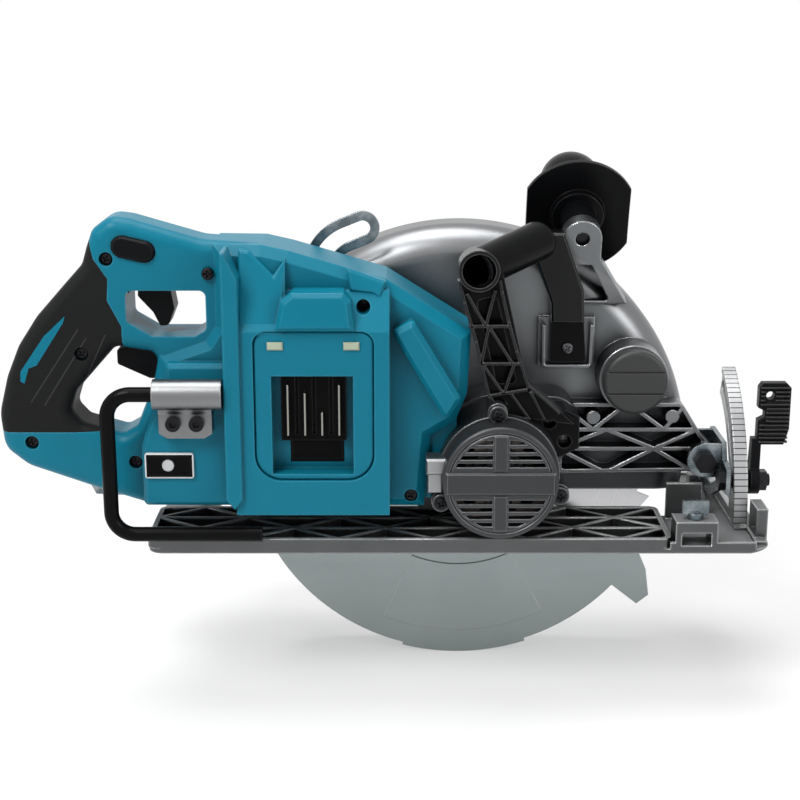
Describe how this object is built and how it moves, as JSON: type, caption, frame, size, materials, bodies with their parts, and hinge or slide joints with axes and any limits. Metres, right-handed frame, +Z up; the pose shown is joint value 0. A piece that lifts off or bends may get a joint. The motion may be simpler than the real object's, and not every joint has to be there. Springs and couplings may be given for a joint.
{
  "type": "cordless circular saw",
  "caption": "Rear-handle cordless circular saw with D handle, front grip and knob, tilting ribbed base, depth guide, swinging lower blade guard and folding hook.",
  "frame": {"origin": "on the sole's plane, straight below the arbor, in the blade's plane", "axes": "+X forward along the cut, +Z up out of the sole, +Y away from the motor side"},
  "size_m": [0.4896, 0.1805, 0.3359],
  "materials": {
    "teal_plastic": "satin",
    "black_plastic": "satin",
    "black_rubber": "matt",
    "cast_alloy": "cast, satin",
    "guard_alloy": "satin",
    "zinc_steel": "zinc plated",
    "steel": "ground",
    "black_steel": "black oxide",
    "white_plastic": "satin",
    "cream_rubber": "matt",
    "brass": "plain"
  },
  "bodies": {
    "saw_head": {"blade_case": "cast_alloy", "dust_cap": "black_plastic", "guard_spring": "steel", "bearing_box": "cast_alloy", "spindle_ball_bearing": "steel", "spindle_needle_bearing": "steel", "gear_housing": "cast_alloy", "motor_bearings": "steel", "stator": "steel", "motor_housing": "teal_plastic", "motor_end_cover": "black_plastic", "cover_screws": "black_steel", "housing_near": "teal_plastic", "housing_far": "teal_plastic", "grip_near": "black_rubber", "grip_far": "black_rubber", "housing_screws": "black_steel", "trigger_switch": "black_plastic", "motor_controller": "black_plastic", "battery_mount": "black_plastic", "port_bumpers": "cream_rubber", "terminal_block": "black_plastic", "terminal_blades": "brass", "panel_frame": "white_plastic", "mode_panel": "black_plastic", "hook_bracket": "black_plastic", "bracket_bolts": "black_steel", "depth_clamp_bolt": "zinc_steel", "front_grip": "black_plastic", "front_grip_screws": "black_steel", "front_knob": "black_plastic", "knob_guard": "black_plastic", "knob_bolt": "black_steel"},
    "spindle_group": {"spindle": "steel", "drive_gear": "steel", "inner_flange": "steel", "saw_blade": "steel", "outer_flange": "steel", "blade_bolt": "black_steel"},
    "rotor_group": {"rotor": "steel", "cooling_fan": "black_plastic", "pinion": "steel"},
    "lower_guard_body": {"lower_guard": "guard_alloy"},
    "trigger_body": {"trigger": "black_plastic"},
    "lock_off_body": {"lock_off_button": "black_plastic"},
    "mode_button_body": {"mode_button": "black_plastic"},
    "hook_body": {"hook": "black_steel"},
    "slot_lid_body": {"slot_lid": "black_plastic"},
    "depth_lever_body": {"depth_lever": "zinc_steel"},
    "tilt_frame": {"front_bracket": "zinc_steel", "depth_guide": "zinc_steel", "depth_pivot_bolt": "zinc_steel", "bevel_clamp_bolt": "zinc_steel"},
    "bevel_lever_body": {"bevel_lever": "black_plastic"},
    "base": {"base_plate": "cast_alloy", "bevel_guide": "zinc_steel", "bevel_pins": "steel", "fence_screw": "black_steel"}
  },
  "joints": [
    {"name": "depth_hinge", "type": "hinge", "parent": "saw_head", "child": "tilt_frame", "pos_m": [0.157, -0.028, 0.0415], "axis": [0, -1, 0], "range_deg": [0, 28]},
    {"name": "bevel_hinge", "type": "hinge", "parent": "tilt_frame", "child": "base", "pos_m": [0, 0.022, 0.008], "axis": [1, 0, 0], "range_deg": [0, 45]},
    {"name": "bevel_lever_turn", "type": "hinge", "parent": "tilt_frame", "child": "bevel_lever_body", "pos_m": [0.187, -0.05833, 0.03256], "axis": [1, 0, 0], "range_deg": [0, 60]},
    {"name": "depth_lever_turn", "type": "hinge", "parent": "saw_head", "child": "depth_lever_body", "pos_m": [-0.11978, -0.035, 0.03038], "axis": [0, 1, 0], "range_deg": [0, 30]},
    {"name": "blade_spin", "type": "hinge", "parent": "saw_head", "child": "spindle_group", "pos_m": [0, 0, 0.038], "axis": [0, 1, 0], "continuous": true},
    {"name": "rotor_spin", "type": "hinge", "parent": "saw_head", "child": "rotor_group", "pos_m": [0.02156, 0, 0.04899], "axis": [0, 1, 0], "continuous": true},
    {"name": "lower_guard_swing", "type": "hinge", "parent": "saw_head", "child": "lower_guard_body", "pos_m": [0, 0, 0.038], "axis": [0, 1, 0], "range_deg": [0, 105], "stiffness_Nm_per_rad": 0.4, "springref_deg": -51.57},
    {"name": "trigger_pull", "type": "hinge", "parent": "saw_head", "child": "trigger_body", "pos_m": [-0.19, -0.072, 0.167], "axis": [0, 1, 0], "range_deg": [0, 12], "stiffness_Nm_per_rad": 0.4, "springref_deg": -11.46},
    {"name": "lock_off_push", "type": "slide", "parent": "saw_head", "child": "lock_off_body", "axis": [0, 1, 0], "range_m": [-0.0025, 0.0025], "stiffness_N_per_m": 500},
    {"name": "mode_button_push", "type": "slide", "parent": "saw_head", "child": "mode_button_body", "axis": [0, 1, 0], "range_m": [0, 0.001], "stiffness_N_per_m": 800, "springref_m": -0.0006},
    {"name": "hook_swing", "type": "hinge", "parent": "saw_head", "child": "hook_body", "pos_m": [-0.165, -0.113, 0.103], "axis": [-1, 0, 0], "range_deg": [0, 90]},
    {"name": "slot_lid_open", "type": "hinge", "parent": "saw_head", "child": "slot_lid_body", "pos_m": [-0.1835, -0.072, 0.108], "axis": [0, -1, 0], "range_deg": [0, 60]}
  ],
  "couplings": [
    {"joint": "rotor_spin", "follows": "blade_spin", "ratio": -3.8889}
  ]
}
